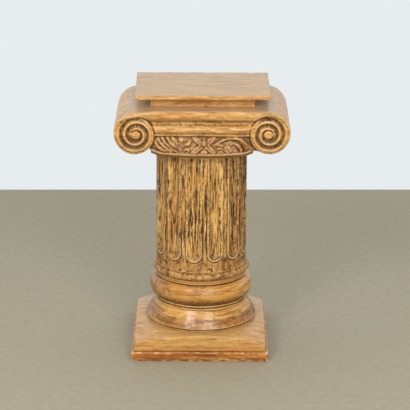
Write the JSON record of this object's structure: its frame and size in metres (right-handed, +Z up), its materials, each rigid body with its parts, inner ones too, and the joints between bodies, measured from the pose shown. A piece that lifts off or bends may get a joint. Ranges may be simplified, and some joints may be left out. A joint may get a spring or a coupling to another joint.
{
  "type": "ionic column pedestal",
  "caption": "Carved timber pedestal shaped as a short Ionic column, with a volute capital, fluted shaft, square plinth and a flat board that carries a plant, bust or lamp.",
  "frame": {"origin": "middle of the plinth's underside, where the pedestal stands on the floor", "axes": "+Z up along the column's axis; -Y towards the carved front; +X to the right as seen from the front, along the capital's long side"},
  "size_m": [0.385, 0.306, 0.6],
  "materials": {
    "plinth_wood": "honey stain with a satin wax, worn pale along the edges",
    "column_wood": "honey stain with dark brown glaze left in the hollows, satin wax",
    "capital_wood": "honey stain with dark brown glaze left in the carving, satin wax",
    "board_wood": "honey stain with a thin dusty wax, worn edges"
  },
  "bodies": {
    "root": {"plinth_slab": "plinth_wood", "plinth_block": "plinth_wood", "turned_base": "column_wood", "fluted_shaft": "column_wood", "carved_capital": "capital_wood", "neck_board": "board_wood", "top_board": "board_wood"}
  },
  "joints": []
}
